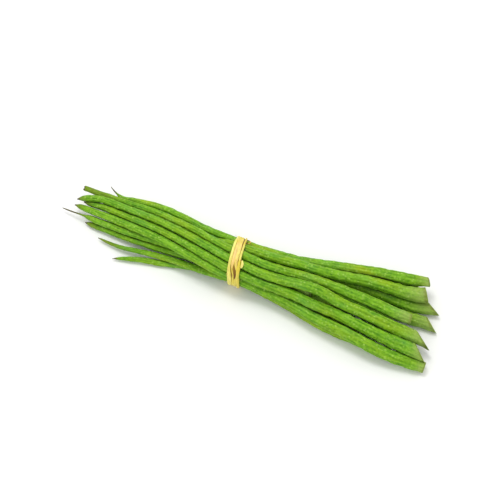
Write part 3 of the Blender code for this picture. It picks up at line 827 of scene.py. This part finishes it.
def buildStrand(strand, outline, material):
    form, seed, top = strandForm, strand["seed"], strand["top"]
    degrees = np.linspace(0, 360, tieForm["rounds"], endpoint=False)
    angle = np.radians(degrees)
    place = tableAt(strand["table"], 1, degrees) + form["waver"] * loopWaves(seed, angle, 9, 30)
    half = tableAt(strand["table"], 2, degrees)
    half = half * (1 + form["widthWaver"] * loopWaves(seed + 20, angle, 12, 40))
    u = np.concatenate([np.linspace(-1, 1, top), np.linspace(1, -1, form["under"])[1:-1]])
    onTop = np.arange(len(u)) < top
    across = place[:, None] + u * half[:, None]

    # Fine ripples run along the strand, a few to each fibre
    fibres = math.pi * strand["fibres"] * u
    wander = form["wander"] * loopWaves(seed + 40, angle, 3, 9)[:, None]
    ripple = 0.5 * np.cos(fibres + wander) + 0.3 * np.cos(2.3 * fibres - 1.7 * wander + 1)
    crown = np.clip(1 - np.abs(u) ** form["crownPower"], 0, 1) ** form["crownRound"]
    width = (half / half.max())[:, None]
    height = strand["height"] * (form["thinHeight"] + (1 - form["thinHeight"]) * width)
    height = height * crown * (1 + form["ripple"] * ripple)
    height = height * (1 + form["heightWaver"] * loopWaves(seed + 60, angle, 8, 26))[:, None]
    height = np.where(onTop, height + form["base"], form["underside"])

    peach = np.maximum(between(form["peachFront"], degrees),
                       form["underShare"] * between(form["peachUnder"], degrees))
    twisted = smoothStep(*form["twist"], degrees) * (1 - smoothStep(*form["twistFade"], degrees))
    twisted *= 1 - form["easeBy"] * smoothStep(*form["twistEase"], degrees)
    gilded = 1 - smoothStep(*form["gilt"], degrees) + form["twistGilt"] * twisted
    tone = np.clip(strand["tone"] * (1 + form["giltGain"] * gilded) + form["giltTone"] * gilded, 0, 1)
    edge = strand["edge"] * smoothStep(form["edgeFrom"], 1.0, np.abs(u))
    # A strand's underside takes the full dark brown as painted shade under the band.
    grids = tone[:, None], (strand["peach"] * peach)[:, None], edge, np.where(onTop, 0.0, 1.0)
    pattern = tieForm["meanRadius"] * angle[:, None] + tieForm["patternStep"] * seed
    marks = fibreMarks(placeMark(across.shape, pattern, u * half.mean(), height),
                       *(spreadOver(across.shape, values) for values in grids))
    return makeBand(strand["name"], onTie(angle, across, height, outline), material, marks)


# A thin brown layer under the strands, painted dark as the shade in the gap where the middle strip parts.
# section: place across as a share of half, and height in millimetres. hollowShadeAndBrown: darkness at the
# left and at the right.
backingForm = {
    "middle": 0.6, "half": 4.4, "ripple": 0.05, "tone": 0.9, "hollowShadeAndBrown": (0.78, 1.0), "darkFrom": (0.6, 1.6),
    "section": [(-1, 0.12), (-0.96, 0.34), (-0.5, 0.36), (0, 0.36), (0.5, 0.36), (0.96, 0.34),
                (1, 0.12), (0.5, 0.03), (0, 0.03), (-0.5, 0.03)],
}


def buildBacking(outline, material):
    form = backingForm
    angle = anglesRound(tieForm["rounds"])
    u, high = np.array(form["section"]).T
    across = form["middle"] + form["half"] * u * np.ones((len(angle), 1))
    raised = high > high.mean()
    ripple = form["ripple"] * loopWaves(71, angle, 20, 60)[:, None] * raised
    place = placeMark(across.shape, tieForm["meanRadius"] * angle[:, None], across, 0.0)
    left, right = form["hollowShadeAndBrown"]
    hollowShadeAndBrown = left + (right - left) * smoothStep(*form["darkFrom"], across.ravel())
    return makeBand("tieBrownShadeBacking", onTie(angle, across, high + ripple, outline), material,
                    fibreMarks(place, form["tone"], 0.0, 0.0, hollowShadeAndBrown))


# A flattened, slightly ridged tube along a line on the tie, closed at both ends.
def flatTube(line, angle, thick, flat, around, ridges=5, ridgeDepth=0.12):
    steps = len(line)
    along = np.gradient(line, axis=0)
    along /= np.linalg.norm(along, axis=1, keepdims=True)
    outward = np.column_stack([np.zeros(steps), np.cos(angle), np.sin(angle)])
    side = np.cross(along, outward)
    side /= np.linalg.norm(side, axis=1, keepdims=True)
    up = np.cross(side, along)
    turn = anglesRound(around)
    ridged = np.sin(turn) + ridgeDepth * np.cos(ridges * turn)
    ring = (line[:, None] + (thick[:, None] * np.cos(turn))[..., None] * side[:, None]
            + (flat[:, None] * ridged)[..., None] * up[:, None])
    last = (steps - 1) * around
    faces = ringFaces(steps, around)
    faces += [((j + 1) % around, j, steps * around) for j in range(around)]
    faces += [(last + j, last + (j + 1) % around, steps * around + 1) for j in range(around)]
    return np.vstack([ring.reshape(-1, 3), line[:1], line[-1:]]), faces


# Loose loops of fibre at the right edge: middle and half length in degrees round the bunch, place
# across the band at the root, and how far the loop stands out from there.
# ends: share of a loop at each end painted dark as the shadow where it tucks under the band. dark: brown
# laid over all of the loop.
tieLoops = [
    dict(name="tieLoop", middle=121.5, half=8.8, root=6.1, out=2.5, lift=0.9, rise=0.9,
         thick=1.25, flat=0.62, tone=0.10, dark=0.0, ends=0.2, seed=81),
    dict(name="tieCurl", middle=46.0, half=13.0, root=6.2, out=4.6, lift=0.7, rise=0.5,
         thick=0.6, flat=0.42, tone=0.95, dark=0.3, ends=0.3, seed=82),
]
# Thickness at a loop's ends is a share of that in its middle.
loopForm = {
    "steps": 44, "around": 14, "bulge": 0.75, "endThick": 0.45, "endFlat": 0.6, "uneven": 0.1,
    "fibreLength": 12, "peach": 0.2,
}


def buildLoop(loop, outline, material):
    form, around = loopForm, loopForm["around"]
    t = np.linspace(0, 1, form["steps"])
    swell = np.sin(math.pi * t)
    angle = np.radians(loop["middle"] + loop["half"] * np.cos(math.pi * t))
    place = loop["root"] + loop["out"] * swell ** form["bulge"]
    line = onTie(angle, place, loop["lift"] + loop["rise"] * swell, outline)
    uneven = 1 + form["uneven"] * waves(loop["seed"], t, longest=0.5, shortest=0.12, count=3)
    thick = loop["thick"] * (form["endThick"] + (1 - form["endThick"]) * swell) * uneven
    flat = loop["flat"] * (form["endFlat"] + (1 - form["endFlat"]) * swell)
    points, faces = flatTube(line, angle, thick, flat, around)
    # Painted shadow at the loop's tucked ends, and the loop's own brown over the rest.
    dark = 1 - smoothStep(0.3 * loop["ends"], loop["ends"], np.minimum(t, 1 - t))
    dark = np.concatenate([np.repeat(np.maximum(dark, loop["dark"]), around), [1, 1]])
    across = loop["thick"] * np.cos(anglesRound(around))
    pattern = form["fibreLength"] * t[:, None] + tieForm["patternStep"] * loop["seed"]
    fibrePlace = np.vstack([placeMark((len(t), around), pattern, across, 0.0), np.zeros((2, 3))])
    return makePiece(loop["name"], points, faces, [material],
                     marks=fibreMarks(fibrePlace, loop["tone"], form["peach"], 0.0, dark))


# Short broken fibres that stand off the edges of the band.
frayLooks = {
    "seed": 91, "count": 16, "length": (2.2, 5.5), "lean": (0.2, 0.6), "bend": 1.6, "thick": 0.17,
    "taper": 0.75, "flat": 0.8, "around": 6, "edges": (-5.3, 6.0), "lift": 0.8, "rise": (0.2, 1.0),
    "steps": 9, "tone": 0.45, "peach": 0.3,
}


def buildFrays(outline, material):
    look = frayLooks
    draw = np.random.default_rng(look["seed"])
    t = np.linspace(0, 1, look["steps"])
    allPoints, allFaces, first = [], [], 0
    for number in range(look["count"]):
        start = fullTurn * (number + draw.uniform(0.2, 0.8)) / look["count"]
        side = number % 2
        length = draw.uniform(*look["length"])
        lean = draw.uniform(*look["lean"]) * (1 if side else -1)
        angle = start + draw.choice([-1, 1]) * length / tieForm["meanRadius"] * t
        place = look["edges"][side] + lean * length * t ** look["bend"]
        line = onTie(angle, place, look["lift"] + draw.uniform(*look["rise"]) * t, outline)
        thick = look["thick"] * (1 - look["taper"] * t)
        points, faces = flatTube(line, angle, thick, thick * look["flat"], look["around"])
        allFaces += [tuple(first + v for v in face) for face in faces]
        allPoints.append(points)
        first += len(points)
    points = np.vstack(allPoints)
    return makePiece("tieFrays", points, allFaces, [material],
                     marks=fibreMarks(points, look["tone"], look["peach"], 0.0, 0.0))


def buildTie():
    outline = tautOutline()
    fibre = makeFibre()
    made = [buildStrand(strand, outline, fibre) for strand in tieStrands]
    made.append(buildBacking(outline, fibre))
    made += [buildLoop(loop, outline, fibre) for loop in tieLoops]
    made.append(buildFrays(outline, fibre))
    for piece in made:
        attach(piece, "root")
        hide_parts("fibre_tie")


buildTie()
print("stage: tie made")

# The stage in metres, and the camera in millimetres
stageLooks = {
    "floor": (0.90, 0.90, 0.89, 1), "floorCloud": (0.86, 0.86, 0.86, 1), "cloudAmount": 0.05,
    "cloudScale": 3.0, "floorSize": 6.0, "floorRoughness": 0.85,
    "sky": (1.0, 1.0, 1.0, 1), "skyStrength": 0.92,
    "lamp": dict(place=(-0.5, 0.35, 2.0), size=0.8, power=16),
}
cameraPlace = {
    "right": (0.9397, 0.3420, 0.0), "up": (-0.2962, 0.8138, 0.5), "back": (0.1710, -0.4698, 0.8660),
    "aim": (3.21, 13.16, 29.5), "distance": 1250.0, "lens": 90, "sensor": 36, "clip": (0.05, 20),
}


def buildFloor():
    look = stageLooks
    material, tree, shader = newMaterial("paleFloor", look["floorRoughness"])
    coordinates = addNode(tree, "ShaderNodeTexCoord").outputs["Object"]
    noise = addNode(tree, "ShaderNodeTexNoise", Vector=coordinates, Scale=look["cloudScale"], Detail=2.0)
    plug(tree, shader, "Base Color", layOver(
        tree, look["floor"], [(look["floorCloud"], noise.outputs["Fac"], look["cloudAmount"])]))
    half = look["floorSize"] / 2 / mm
    corners = [(-half, -half, 0), (half, -half, 0), (half, half, 0), (-half, half, 0)]
    floor = makePiece("paleFloor", corners, [(0, 1, 2, 3)], [material])


def buildLight():
    look = stageLooks["lamp"]
    lamp = bpy.data.lights.new("keyLight", "AREA")
    lamp.shape, lamp.size, lamp.energy = "DISK", look["size"], look["power"]
    holder = bpy.data.objects.new("keyLight", lamp)
    holder.location = look["place"]
    holder.rotation_euler = (-Vector(look["place"])).to_track_quat("-Z", "Y").to_euler()
    bpy.context.scene.collection.objects.link(holder)
    world = bpy.data.worlds.new("softRoom")
    world.use_nodes = True
    background = world.node_tree.nodes["Background"]
    background.inputs["Color"].default_value = stageLooks["sky"]
    background.inputs["Strength"].default_value = stageLooks["skyStrength"]
    bpy.context.scene.world = world
    bpy.context.scene.view_settings.view_transform = "Standard"


def buildCamera():
    place = cameraPlace
    eye = Vector(place["aim"]) + Vector(place["back"]) * place["distance"]
    axes = Matrix((place["right"], place["up"], place["back"])).transposed()
    camera = bpy.data.objects.new("photoCamera", bpy.data.cameras.new("photoCamera"))
    camera.matrix_world = Matrix.Translation(eye * mm) @ axes.to_4x4()
    camera.data.lens, camera.data.sensor_width = place["lens"], place["sensor"]
    camera.data.clip_start, camera.data.clip_end = place["clip"]
    bpy.context.scene.collection.objects.link(camera)
    bpy.context.scene.camera = camera


buildFloor()
buildLight()
buildCamera()
print("stage: floor, light and camera made")
